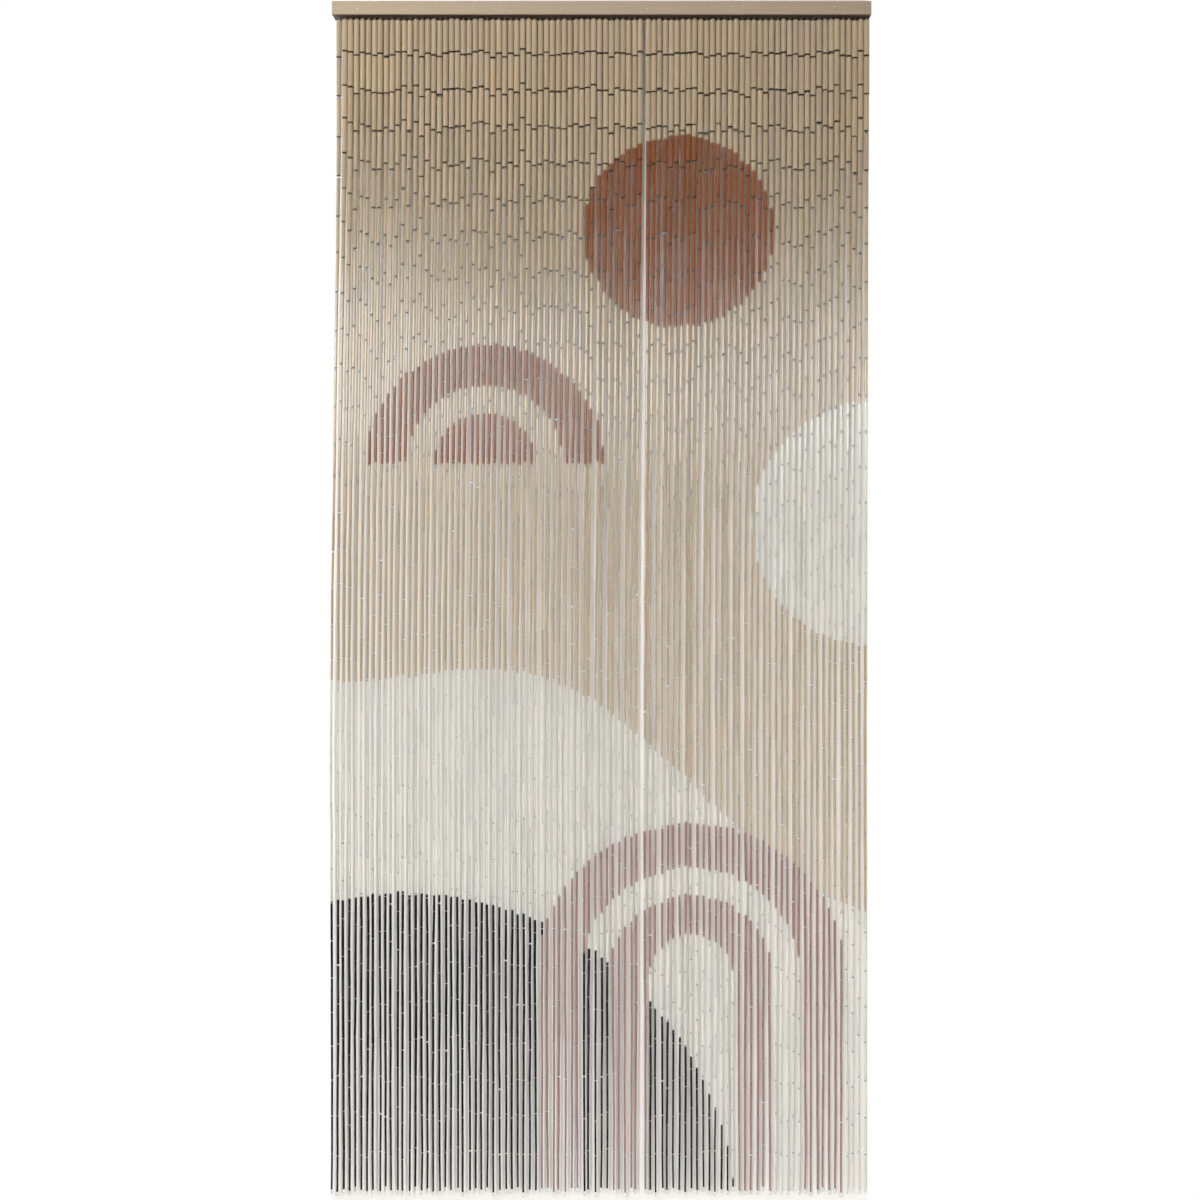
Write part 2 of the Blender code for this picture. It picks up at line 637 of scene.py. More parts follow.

        # The sawn rims are painted dark brown, partly as worn paint and partly as painted shade in the
        # joints, most on the high, thick tubes
        to_end = wiring.math("SUBTRACT", half, wiring.math("ABSOLUTE", along))
        ragged = wiring.math("MULTIPLY", wiring.math("SUBTRACT", thin, self.rim_middle), self.rim_wander)
        rim = wiring.ramp(wiring.math("SUBTRACT", to_end, ragged), *self.rim, 1.0, 0.0)
        rim_wear_and_shade = wiring.math("MULTIPLY", rim, wiring.ramp(height, *self.rim_shade_heights, *self.wear_and_shade))
        rimmed = wiring.mix(rim_wear_and_shade, patched, self.rim_brown_and_shade)

        dusty = wiring.group(dust, Place=place, Size=18.0, Amount=0.12)["Mask"]
        wiring.feed(shader.inputs["Base Color"], wiring.mix(dusty, rimmed, self.dust))
        rough = wiring.ramp(streaks["Height"], *FIBRE_RANGE, *self.roughness)
        wiring.feed(shader.inputs["Roughness"], rough)

        # The dark pigment dries dead matt, and so do the dark rims
        strength = wiring.vector_math("LENGTH", design, (0.0, 0.0, 0.0))
        gloss = wiring.ramp(strength, *self.depth, *self.coat)
        kept = wiring.math("SUBTRACT", 1.0, rim_wear_and_shade)
        wiring.feed(shader.inputs["Coat Weight"], wiring.math("MULTIPLY", gloss, kept))
        shader.inputs["Specular IOR Level"].default_value = self.specular
        shader.inputs["Coat Roughness"].default_value = self.coat_roughness
        shader.inputs["Diffuse Roughness"].default_value = 1.0
        shader.inputs["Coat IOR"].default_value = self.coat_index
        wiring.feed(shader.inputs["Normal"], wiring.relief(streaks["Height"], *self.relief))
        return material


@dataclass(frozen=True)
class CutReed:
    """The sawn ends and the bore of a tube: bare and fibrous, in a near-black brown that is partly the
    reed's own and partly painted shade in the hollow ends.

    Args:
        light: The colour of the light fibres.
        dark: The colour of the dark fibres.
        dust: The colour of dust.
        fibre_edge: The fibre heights between which the wood goes from dark to light.
        roughness: The wood's roughness in its smoothest and its roughest fibre.
        specular: Its shine.
    """

    light: tuple = (0.070, 0.045, 0.027)
    dark: tuple = (0.020, 0.013, 0.008)
    dust: tuple = (0.16, 0.13, 0.10)
    fibre_edge: tuple = (0.35, 0.65)
    roughness: tuple = (0.75, 0.90)
    specular: float = 0.25

    def build(self, fibres: bpy.types.NodeTree, dust: bpy.types.NodeTree) -> bpy.types.Material:
        """Make the material.

        Args:
            fibres: The wood fibre group.
            dust: The dust and handling group.

        Returns:
            The material.
        """
        material, wiring, shader = start_material("sawn_reed_painted_shade")
        place = wiring.place()
        streaks = wiring.group(fibres, Place=place, Fineness=1500.0, Contrast=1.0)
        # Both fibre colours are near black: painted shade in the hollow ends, over the reed's own brown
        wood = wiring.mix(wiring.ramp(streaks["Height"], *self.fibre_edge), self.dark, self.light)
        dusty = wiring.group(dust, Place=place, Size=40.0, Amount=0.2)["Mask"]
        wiring.feed(shader.inputs["Base Color"], wiring.mix(dusty, wood, self.dust))
        rough = wiring.ramp(streaks["Height"], *FIBRE_RANGE, *self.roughness)
        wiring.feed(shader.inputs["Roughness"], rough)
        shader.inputs["Specular IOR Level"].default_value = self.specular
        return material


@dataclass(frozen=True)
class RailPaint:
    """Satin paint on a planed batten: long brush marks, specks, a seam, and a dark brown underside, partly
    the wood's own brown and partly painted shade.

    Args:
        paint: The paint's colour.
        pale: The colour of the specks.
        under: The underside's dark brown, partly painted shade, and the seam's colour.
        underside_shade_pale: The underside's lighter brown along its light fibres, also partly painted
            shade.
        dust: The colour of dust.
        draw: The brush marks' noise scale along the rail, beside 1 across it.
        brush_shade: How strongly the brush marks show.
        speck_edge: Where in the noise a speck starts, and where it is full.
        speck_share: How strongly the specks show.
        seam: The seam's place across.
        seam_edge: The distances from its middle at which the seam starts to fade and is gone.
        seam_share: How strongly the seam shows.
        seam_depth: How deep the seam is beside the brush marks.
        shade_facing_down: The normal's heights at which the underside's colour starts and is full.
        under_edge: The fibre heights between which the underside turns pale.
        roughness: The paint's roughness in its smoothest and its roughest mark.
        relief: The bump's strength and depth.
    """

    paint: tuple = (0.335, 0.258, 0.168)
    pale: tuple = (0.620, 0.560, 0.470)
    under: tuple = (0.080, 0.053, 0.033)
    underside_shade_pale: tuple = (0.135, 0.097, 0.064)
    dust: tuple = (0.36, 0.31, 0.25)
    draw: float = 0.03
    brush_shade: float = 0.22
    speck_edge: tuple = (0.735, 0.76)
    speck_share: float = 0.6
    seam: float = 0.4385
    seam_edge: tuple = (0.0002, 0.0007)
    seam_share: float = 0.35
    seam_depth: float = 0.8
    # shade_facing_down: The normal's heights at which the underside's painted shade starts and is full.
    shade_facing_down: tuple = (-0.55, -0.85)
    under_edge: tuple = (0.35, 0.7)
    roughness: tuple = (0.42, 0.58)
    relief: tuple = (0.3, 0.0004)

    def build(self, fibres: bpy.types.NodeTree, dust: bpy.types.NodeTree) -> bpy.types.Material:
        """Make the material.

        Args:
            fibres: The wood fibre group.
            dust: The dust and handling group.

        Returns:
            The material.
        """
        material, wiring, shader = start_material("painted_batten")
        place = wiring.place()
        across = wiring.split(place)[0]
        drawn = wiring.vector_math("MULTIPLY", place, (self.draw, 1.0, 1.0))
        streaks = wiring.group(fibres, Place=drawn, Fineness=420.0, Contrast=1.0)
        value = wiring.math("ADD", 1.0, wiring.math("MULTIPLY", streaks["Streak"], self.brush_shade))
        brushed = wiring.shade(self.paint, value)

        speck = wiring.ramp(wiring.noise(place, 260.0, 1.0, 0.4), *self.speck_edge)
        specked = wiring.mix(wiring.math("MULTIPLY", speck, self.speck_share), brushed, self.pale)
        dusty = wiring.group(dust, Place=place, Size=14.0, Amount=0.16)["Mask"]
        handled = wiring.mix(dusty, specked, self.dust)

        off = wiring.math("ABSOLUTE", wiring.math("SUBTRACT", across, self.seam))
        line = wiring.ramp(off, *self.seam_edge, 1.0, 0.0)
        seamed = wiring.mix(wiring.math("MULTIPLY", line, self.seam_share), handled, self.under)

        # Faces that look down are painted dark brown: painted shade under the rail, over the wood's own
        # brown
        facing = wiring.add("ShaderNodeNewGeometry").outputs["Normal"]
        down = wiring.ramp(wiring.split(facing)[2], *self.shade_facing_down)
        shaded_underside = wiring.mix(wiring.ramp(streaks["Height"], *self.under_edge), self.under, self.underside_shade_pale)
        wiring.feed(shader.inputs["Base Color"], wiring.mix(down, seamed, shaded_underside))
        rough = wiring.ramp(streaks["Height"], *FIBRE_RANGE, *self.roughness)
        wiring.feed(shader.inputs["Roughness"], rough)
        height = wiring.math("SUBTRACT", streaks["Height"], wiring.math("MULTIPLY", line, self.seam_depth))
        wiring.feed(shader.inputs["Normal"], wiring.relief(height, *self.relief))
        return material


@dataclass(frozen=True)
class Wire:
    """Galvanised wire, dulled by zinc bloom.

    Args:
        metal: The colour of the clean metal.
        bloom: The colour of the bloom.
        bloom_share: How thick the bloom may be.
        roughness: The roughness of the clean metal and of the thickest bloom.
        metallic: How much of the wire looks like metal.
    """

    metal: tuple = (0.540, 0.525, 0.500)
    bloom: tuple = (0.680, 0.670, 0.640)
    bloom_share: float = 0.9
    roughness: tuple = (0.34, 0.62)
    metallic: float = 0.60

    def build(self, dust: bpy.types.NodeTree) -> bpy.types.Material:
        """Make the material.

        Args:
            dust: The dust and handling group.

        Returns:
            The material.
        """
        material, wiring, shader = start_material("galvanised_wire")
        place = wiring.place()
        cloud = wiring.group(dust, Place=place, Size=900.0, Amount=self.bloom_share)["Mask"]
        wiring.feed(shader.inputs["Base Color"], wiring.mix(cloud, self.metal, self.bloom))
        rough = wiring.ramp(cloud, 0.0, self.bloom_share, *self.roughness)
        wiring.feed(shader.inputs["Roughness"], rough)
        shader.inputs["Metallic"].default_value = self.metallic
        return material


def start_material(name: str) -> tuple[bpy.types.Material, Wiring, bpy.types.Node]:
    """Start a material on its Principled shader.

    Args:
        name: The material's name.

    Returns:
        The material, its wiring and its shader node.
    """
    material = bpy.data.materials.new(name)
    material.use_nodes = True
    shader = material.node_tree.nodes["Principled BSDF"]
    return material, Wiring(material.node_tree), shader


@dataclass
class Finishes:
    """Every material of the curtain, made once."""

    reed: bpy.types.Material = field(init=False)
    sawn: bpy.types.Material = field(init=False)
    rail: bpy.types.Material = field(init=False)
    wire: bpy.types.Material = field(init=False)

    def __post_init__(self) -> None:
        """Build the shared groups and then the materials."""
        fibres, dust = grain_group(), grime_group()
        self.reed = ReedPaint().build(fibres, dust)
        self.sawn = CutReed().build(fibres, dust)
        self.rail = RailPaint().build(fibres, dust)
        self.wire = Wire().build(dust)


@dataclass
class Swarm:
    """Many copies of one small shape, joined in one mesh piece.

    Args:
        name: The piece's name.
        pattern: The small shape's mesh, which is used up.
        places: One 4 x 4 matrix for each copy.
        finishes: The materials, in the order of the pattern's indices.
        facts: Vector attributes, with a row for each copy and a column for each point.
        sharp: The angle past which an edge is drawn sharp.
    """

    name: str
    pattern: bpy.types.Mesh
    places: np.ndarray
    finishes: list
    facts: dict = field(default_factory=dict)
    sharp: float = math.radians(40.0)

    def read(self, items: object, name: str, width: int, kind: type) -> np.ndarray:
        """Read one property of every item of the pattern.

        Args:
            items: The pattern's vertices, loops or polygons.
            name: The property's name.
            width: How many numbers it has.
            kind: The numbers' type.

        Returns:
            The numbers, with a row for each item.
        """
        values = np.empty(len(items) * width, kind)
        items.foreach_get(name, values)
        return values.reshape(-1, width)

    def build(self) -> bpy.types.Object:
        """Join the copies.

        Returns:
            The piece.
        """
        points = self.read(self.pattern.vertices, "co", 3, np.float32)
        corners = self.read(self.pattern.loops, "vertex_index", 1, np.int32).ravel()
        starts = self.read(self.pattern.polygons, "loop_start", 1, np.int32).ravel()
        slots = self.read(self.pattern.polygons, "material_index", 1, np.int32).ravel()
        copies = len(self.places)
        flat = np.einsum("nij,vj->nvi", self.places[:, :3, :3], points) + self.places[:, None, :3, 3]
        order = np.arange(copies, dtype=np.int32)[:, None]

        mesh = bpy.data.meshes.new(self.name)
        mesh.vertices.add(copies * len(points))
        mesh.vertices.foreach_set("co", flat.astype(np.float32).ravel())
        mesh.loops.add(copies * len(corners))
        mesh.loops.foreach_set("vertex_index", (corners + order * len(points)).ravel())
        mesh.polygons.add(copies * len(starts))
        mesh.polygons.foreach_set("loop_start", (starts + order * len(corners)).ravel())
        mesh.polygons.foreach_set("material_index", np.tile(slots, copies))
        for label, values in self.facts.items():
            attribute = mesh.attributes.new(label, "FLOAT_VECTOR", "POINT")
            attribute.data.foreach_set("vector", values.astype(np.float32).ravel())
        mesh.update(calc_edges=True)
        mesh.validate()
        mesh.shade_smooth()
        mesh.set_sharp_from_angle(angle=self.sharp)
        for finish in self.finishes:
            mesh.materials.append(finish)
        piece = bpy.data.objects.new(self.name, mesh)
        bpy.context.scene.collection.objects.link(piece)
        bpy.data.meshes.remove(self.pattern)
        return piece


def finished_mesh(shape: bmesh.types.BMesh, name: str) -> bpy.types.Mesh:
    """Close a bmesh with its faces outwards and make it a mesh.

    Args:
        shape: The bmesh, which is freed.
        name: The mesh's name.

    Returns:
        The mesh.
    """
    bmesh.ops.recalc_face_normals(shape, faces=shape.faces)
    mesh = bpy.data.meshes.new(name)
    shape.to_mesh(mesh)
    shape.free()
    return mesh


@dataclass(frozen=True)
class WireHook:
    """A short wire bent to a U, whose legs go up into a tube.

    Args:
        bend: The radius of the bend, to the middle of the wire.
        wire: The wire's radius.
        leg: The length of each leg.
        sides: How many sides the wire has.
        steps: How many steps the bend has.
    """

    bend: float = 0.00110
    wire: float = 0.00036
    leg: float = 0.0030
    sides: int = 5
    steps: int = 4

    def pattern(self) -> bpy.types.Mesh:
        """The hook, in the XZ plane, with its bend's centre at the origin.

        Returns:
            The mesh.
        """
        shape = bmesh.new()
        turned = Matrix.Translation((-self.bend, 0.0, 0.0))
        bmesh.ops.create_circle(shape, cap_ends=True, segments=self.sides, radius=self.wire, matrix=turned)
        bmesh.ops.spin(
            shape,
            geom=list(shape.faces),
            cent=(0.0, 0.0, 0.0),
            axis=(0.0, -1.0, 0.0),
            angle=math.pi,
            steps=self.steps,
        )
        for face in self.tips(shape):
            grown = bmesh.ops.extrude_face_region(shape, geom=[face])["geom"]
            moved = [part for part in grown if isinstance(part, bmesh.types.BMVert)]
            bmesh.ops.translate(shape, vec=(0.0, 0.0, self.leg), verts=moved)
            bmesh.ops.delete(shape, geom=[face], context="FACES_ONLY")
        return finished_mesh(shape, "wire_hook")

    def tips(self, shape: bmesh.types.BMesh) -> list:
        """The end faces that are there after the sweep, level with the bend's centre.

        Args:
            shape: The hook so far.

        Returns:
            The end faces.
        """
        caps = [face for face in shape.faces if len(face.verts) == self.sides]
        near = self.wire * 0.1
        return [cap for cap in caps if all(abs(corner.co.z) < near for corner in cap.verts)]


@dataclass(frozen=True)
class FootLoop:
    """The closed wire loop at the foot of a strand.

    Args:
        width: Its width outside.
        height: Its height outside.
        wire: The wire's radius.
        sides: How many sides the wire has.
        steps: How many steps the loop has.
    """

    width: float = 0.0064
    height: float = 0.0086
    wire: float = 0.00038
    sides: int = 6
    steps: int = 14

    def pattern(self) -> bpy.types.Mesh:
        """The loop, in the XZ plane, with its top at the origin.

        Returns:
            The mesh.
        """
        shape = bmesh.new()
        across = self.width / 2 - self.wire
        turned = Matrix.Translation((across, 0.0, 0.0))
        bmesh.ops.create_circle(shape, cap_ends=False, segments=self.sides, radius=self.wire, matrix=turned)
        bmesh.ops.spin(
            shape,
            geom=list(shape.verts) + list(shape.edges),
            cent=(0.0, 0.0, 0.0),
            axis=(0.0, 1.0, 0.0),
            angle=math.tau,
            steps=self.steps,
            use_merge=True,
        )
        stretch = (self.height / 2 - self.wire) / across
        bmesh.ops.scale(shape, vec=(1.0, 1.0, stretch), verts=shape.verts)
        bmesh.ops.translate(shape, vec=(0.0, 0.0, -self.height / 2), verts=shape.verts)
        return finished_mesh(shape, "foot_loop")


@dataclass(frozen=True)
class ReedTube:
    """One hollow tube of reed, one unit wide and one unit long, that copies are stretched from.

    Args:
        sides: How many sides it has.
        bore: The bore's width.
        depth: How deep the bore goes from each end.
    """

    sides: int = 10
    bore: float = 0.46
    depth: float = 0.09

    def pattern(self) -> bpy.types.Mesh:
        """The tube, standing on the Z axis with its middle at the origin.

        Returns:
            The mesh, with the painted skin in slot 0 and the sawn wood in slot 1.
        """
        shape = bmesh.new()
        bmesh.ops.create_cone(
            shape, cap_ends=True, cap_tris=False, segments=self.sides, radius1=0.5, radius2=0.5, depth=1.0
        )
        ends = [face for face in shape.faces if len(face.verts) == self.sides]
        skin = [face for face in shape.faces if len(face.verts) != self.sides]
        for end in ends:
            bmesh.ops.inset_region(shape, faces=[end], thickness=0.5 - self.bore / 2, use_even_offset=True)
            inwards = -math.copysign(self.depth, end.calc_center_median().z)
            grown = bmesh.ops.extrude_face_region(shape, geom=[end])["geom"]
            moved = [part for part in grown if isinstance(part, bmesh.types.BMVert)]
            bmesh.ops.translate(shape, vec=(0.0, 0.0, inwards), verts=moved)
            bmesh.ops.delete(shape, geom=[end], context="FACES_ONLY")
        for face in shape.faces:
            face.material_index = 0 if face in skin else 1
        return finished_mesh(shape, "reed_tube")


@dataclass(frozen=True)
class StrandRow:
    """The strands' sizes, and how they hang in the solids.

    Args:
        count: How many strands there are.
        pitch: The distance from one strand to the next.
        middle: The row's middle across.
        row_y: The row's depth.
        rail_bottom: The height of the rail's underside.
        tubes_top: The height of the solids' first tube top.
        span: The usual length of a strand's tubes together.
        unevenness: The most that a strand is longer or shorter.
        reed_width: The reed's thickness low down.
        reed_swell: How much thicker it is at the top.
        reed_taper: The share of the way down at which half the swell is gone.
        taper_power: How suddenly the swell goes.
        tip_start: The share of the way down at which the reed thins again.
        tip_loss: How much thinner its foot is.
        widest: The widest that a tube may be.
        spread_left: How far the first strand drifts to the left lower down.
        spread_right: How far the last strand does.
        spread_depth: The distance down at which they have drifted that far.
        wander_top: How far a strand wanders at its top.
        wander_foot: How far it wanders at its foot.
        across_wave: The wandering's turn from strand to strand, and down a strand.
        across_share: That wave's share.
        ripple: The turns of the finer wave.
        ripple_share: The finer wave's share.
        forward_wave: The turns of the wandering in depth.
        foot_waves: The two turns of the feet's unevenness.
    """

    count: int = 90
    pitch: float = 0.00994
    middle: float = 0.0018
    row_y: float = -0.014
    rail_bottom: float = -0.0115
    tubes_top: float = -0.0165
    span: float = 1.9600
    unevenness: float = 0.0050
    reed_width: float = 0.0040
    reed_swell: float = 0.0053
    reed_taper: float = 0.165
    taper_power: float = 2.2
    tip_start: float = 0.84
    tip_loss: float = 0.0009
    widest: float = 0.0097
    spread_left: float = 0.0125
    spread_right: float = 0.0022
    spread_depth: float = 1.20
    wander_top: float = 0.0002
    wander_foot: float = 0.0012
    across_wave: tuple = (2.4, 8.0)
    across_share: float = 0.6
    ripple: tuple = (5.3, 17.0)
    ripple_share: float = 0.4
    forward_wave: tuple = (3.7, 6.0)
    foot_waves: tuple = (1.9, 0.7)

    def wave(self, turns: tuple, strand: int, share: float) -> float:
        """A wave's height from -1 to 1 on one strand, at a share of the way down."""
        return math.sin(turns[0] * strand + turns[1] * share)

    def place(self, strand: int) -> float:
        """Where a strand hangs from the rail."""
        return self.middle + (strand - (self.count - 1) / 2) * self.pitch

    def centre(self, strand: int, drop: float) -> tuple[float, float]:
        """Where a strand's middle hangs.

        Args:
            strand: The strand's number from the left.
            drop: The distance below the solids' first tube top.

        Returns:
            Its place across and its depth.
        """
        from_right = 1.0 - strand / (self.count - 1)
        spread = self.spread_right + (self.spread_left - self.spread_right) * from_right
        part = min(max(drop / self.spread_depth, 0.0), 1.0)
        drift = spread * part * part * (3.0 - 2.0 * part)
        share = drop / self.span
        reach = self.wander_top + (self.wander_foot - self.wander_top) * share
        across = self.across_share * self.wave(self.across_wave, strand, share)
        across += self.ripple_share * self.wave(self.ripple, strand, share)
        forward = self.wave(self.forward_wave, strand, share)
        return self.place(strand) - drift + reach * across, self.row_y + reach * forward

    def width(self, share: float) -> float:
        """The reed's thickness at a share of the way down.

        Args:
            share: The share, 0 at the top and 1 at the foot.

        Returns:
            The thickness.
        """
        tip = max(share - self.tip_start, 0.0) / (1.0 - self.tip_start)
        swell = self.reed_swell / (1.0 + (share / self.reed_taper) ** self.taper_power)
        return self.reed_width + swell - self.tip_loss * tip

    def foot(self, strand: int) -> float:
        """The height of a strand's last tube end.

        Args:
            strand: The strand's number from the left.

        Returns:
            The height.
        """
        swell, beat = self.foot_waves
        span = self.span + self.unevenness * math.sin(swell * strand) * math.cos(beat * strand)
        return self.tubes_top - span


@dataclass(frozen=True)
class Scatter:
    """A value that differs from piece to piece, about a middle and between two limits.

    Args:
        middle: The usual value.
        spread: The standard deviation.
        low: The lower limit.
        high: The upper limit.
    """

    middle: float
    spread: float
    low: float
    high: float

    def draw(self, chance: np.random.Generator) -> float:
        """Draw one value."""
        return float(np.clip(chance.normal(self.middle, self.spread), self.low, self.high))

    def draws(self, chance: np.random.Generator, count: int) -> np.ndarray:
        """Draw many values."""
        return np.clip(chance.normal(self.middle, self.spread, count), self.low, self.high)


def read_course(course: tuple, count: int) -> np.ndarray:
    """Read a value that is given at a few tubes, at every tube of a strand.

    Args:
        course: Pairs of a tube's number from the top and the value there.
        count: How many tubes there are.

    Returns:
        The value at each tube.
    """
    numbers, values = zip(*course)
    return np.interp(np.arange(count), numbers, values)


@dataclass
class Strand:
    """One strand: its tubes from the rail down.

    Args:
        number: Its number from the left.
        tops: The middle of each tube's upper end.
        feet: The middle of each tube's lower end.
        widths: Each tube's thickness.
    """

    number: int
    tops: list[Vector] = field(default_factory=list)
    feet: list[Vector] = field(default_factory=list)
    widths: list[float] = field(default_factory=list)

    def middle(self, tube: int, level: float) -> float:
        """Where a tube's middle is across the doorway, at a height."""
        top, foot = self.tops[tube], self.feet[tube]
        return top.lerp(foot, (top.z - level) / (top.z - foot.z)).x


@dataclass
class ReedCurtain:
    """The ninety strands of tubes, with their links, eyes and foot loops.

    Args:
        row: How the strands hang.
        hook: The wire hook at each joint.
        loop: The wire loop at each foot.
        tube: The tube that every tube is stretched from.
        groups: How many pieces the tubes are joined into.
        seed: The seed of all that is left to chance.
        tube_length: A tube's usual length.
        length_spread: How much single tubes differ in length, down the strand.
        length_habit: How much the lengths drift down a strand.
        shortest: The shortest that a tube may be.
        longest: The longest that a tube may be.
        first_cut: How much shorter the first tube is.
        gap: The usual gap between two tubes in the lower part.
        gaps: The usual gap, down the strand.
        gap_scatter: How much the gaps differ.
        wide_gap: The gap at a loose joint.
        wide_share: How many joints are loose.
        clearance: The air kept between neighbouring tubes.
        opening_after: The strand at which the curtain parts.
        opening: How far each side stands back there.
        opening_reach: Over how many strands that fades.
        eye_drop: The least and the greatest gap between the rail and the first tube.
        aside: How far a strand hangs aside.
        lean: How far it swings aside lower down.
        lean_depth: The distance down at which it has swung that far.
        thickness: How thick a strand is beside the others.
        tube_thickness: How thick a tube is beside the rest of its strand.
        kink_top: How far a tube hangs out of line at the top.
        kink_more: How much further it does lower down.
        kink_depth: The distance down from which it hangs that far.
        design_lift: How much the design is shifted from strand to strand.
        hook_ease: How much of a narrow bore a hook may fill.
        hook_hold: How far a hook's bend reaches past the joint's middle, in wire radii.
        eye_turn: The most that an eye is turned.
        loop_lean: How much a foot loop leans.
        strands: The strands, which are hung when the curtain is made.
    """

    row: StrandRow = field(default_factory=StrandRow)
    hook: WireHook = field(default_factory=WireHook)
    loop: FootLoop = field(default_factory=FootLoop)
    tube: ReedTube = field(default_factory=ReedTube)
    groups: int = 4
    seed: int = 31
    tube_length: float = 0.0605
    length_spread: tuple = ((0, 0.0022), (1, 0.0012), (6, 0.0020), (12, 0.0040))
    length_habit: float = 0.0006
    shortest: float = 0.046
    longest: float = 0.069
    first_cut: float = 0.0025
    gap: float = 0.0016
    gaps: tuple = ((0, 0.0015), (12, 0.0010), (17, 0.0016))
    gap_scatter: Scatter = Scatter(1.0, 0.22, 0.7, 1.6)
    wide_gap: float = 0.0034
    wide_share: float = 0.05
    clearance: float = 0.0001
    opening_after: int = 51
    opening: float = 0.0021
    opening_reach: float = 3.0
    eye_drop: tuple = (0.0020, 0.0056)
    aside: Scatter = Scatter(0.0, 0.00015, -0.0003, 0.0003)
    lean: Scatter = Scatter(0.0, 0.0006, -0.0011, 0.0011)
    lean_depth: float = 0.9
    thickness: Scatter = Scatter(1.0, 0.045, 0.90, 1.08)
    tube_thickness: Scatter = Scatter(1.0, 0.02, 0.95, 1.05)
    kink_top: float = 0.00012
    kink_more: float = 0.00016
    kink_depth: float = 0.6
    design_lift: float = 0.0016
    hook_ease: float = 0.97
    hook_hold: float = 1.25
    eye_turn: float = 0.5
    loop_lean: float = 0.10
    strands: list[Strand] = field(default_factory=list)

    def __post_init__(self) -> None:
        """Hang every strand, with one seeded source of chance."""
        self.chance = np.random.default_rng(self.seed)
        self.strands = [self.hang(number) for number in range(self.row.count)]
        for left, right in zip(self.strands, self.strands[1:]):
            self.part(left, right)

    def lengths(self, total: float) -> list[tuple[float, float]]:
        """Share out a strand's height among its tubes.

        Args:
            total: The height from the first tube's top to the last one's foot.

        Returns:
            Each tube's length and the gap below it, from the top.
        """
        count = round(total / (self.tube_length + self.gap))
        drawn = self.chance.normal(size=count) * read_course(self.length_spread, count)
        habit = np.cumsum(self.chance.normal(size=count)) * self.length_habit
        wanted = self.tube_length + drawn + habit - habit.mean()
        tubes = np.clip(wanted, self.shortest, self.longest)
        tubes[0] -= self.first_cut
        gaps = read_course(self.gaps, count) * self.gap_scatter.draws(self.chance, count)
        gaps = np.where(self.chance.random(count) < self.wide_share, self.wide_gap, gaps)
        tubes *= (total - gaps[:-1].sum()) / tubes.sum()
        return list(zip(tubes, gaps))

    def hang(self, number: int) -> Strand:
        """Hang one strand.

        Args:
            number: Its number from the left.

        Returns:
            The strand.
        """
        row = self.row
        strand = Strand(number)
        side = 1.0 if number > self.opening_after else -1.0
        near = math.exp(-abs(number - self.opening_after - 0.5) / self.opening_reach)
        aside = side * self.opening * near + self.aside.draw(self.chance)
        lean = self.lean.draw(self.chance)
        height = row.rail_bottom - float(self.chance.uniform(*self.eye_drop))
        thick = self.thickness.draw(self.chance)
        total = height - row.foot(number)
        kink = Vector((0.0, 0.0, 0.0))
        for length, gap in self.lengths(total):
            for ends, level in ((strand.tops, height), (strand.feet, height - length)):
                drop = row.tubes_top - level
                x, y = row.centre(number, drop)
                swing = lean * min(drop / self.lean_depth, 1.0)
                ends.append(Vector((x + aside + swing + kink.x, y + kink.y, level)))
                if ends is strand.tops:
                    kink = self.kink(drop)
            share = (row.tubes_top - height + length / 2) / row.span
            own = self.tube_thickness.draw(self.chance)
            width = row.width(min(max(share, 0.0), 1.0)) * thick * own
            strand.widths.append(min(width, row.widest))
            height -= length + gap
        return strand

    def kink(self, drop: float) -> Vector:
        """How far a joint hangs out of line.

        Args:
            drop: The distance below the solids' first tube top.

        Returns:
            The distance across and in depth.
        """
        loose = self.kink_top + self.kink_more * min(drop / self.kink_depth, 1.0)
        scatter = Scatter(0.0, loose, -2.0 * loose, 2.0 * loose)
        return Vector((scatter.draw(self.chance), scatter.draw(self.chance), 0.0))

    def part(self, left: Strand, right: Strand) -> None:
        """Thin the tubes of two neighbours where they would press into each other.

        Args:
            left: The strand on the left.
            right: The strand on its right.
        """
        for near in range(len(left.widths)):
            for far in range(len(right.widths)):
                high = min(left.tops[near].z, right.tops[far].z)
                low = max(left.feet[near].z, right.feet[far].z)
                if low >= high:
                    continue
                room = min(right.middle(far, level) - left.middle(near, level) for level in (high, low))
                excess = (left.widths[near] + right.widths[far]) / 2 + self.clearance - room
                if excess > 0.0:
                    left.widths[near] -= excess
                    right.widths[far] -= excess

    def share_out(self) -> list[list[Strand]]:
        """The strands in groups from left to right, so that no piece has too many faces."""
        size = math.ceil(len(self.strands) / self.groups)
        return [self.strands[start : start + size] for start in range(0, len(self.strands), size)]

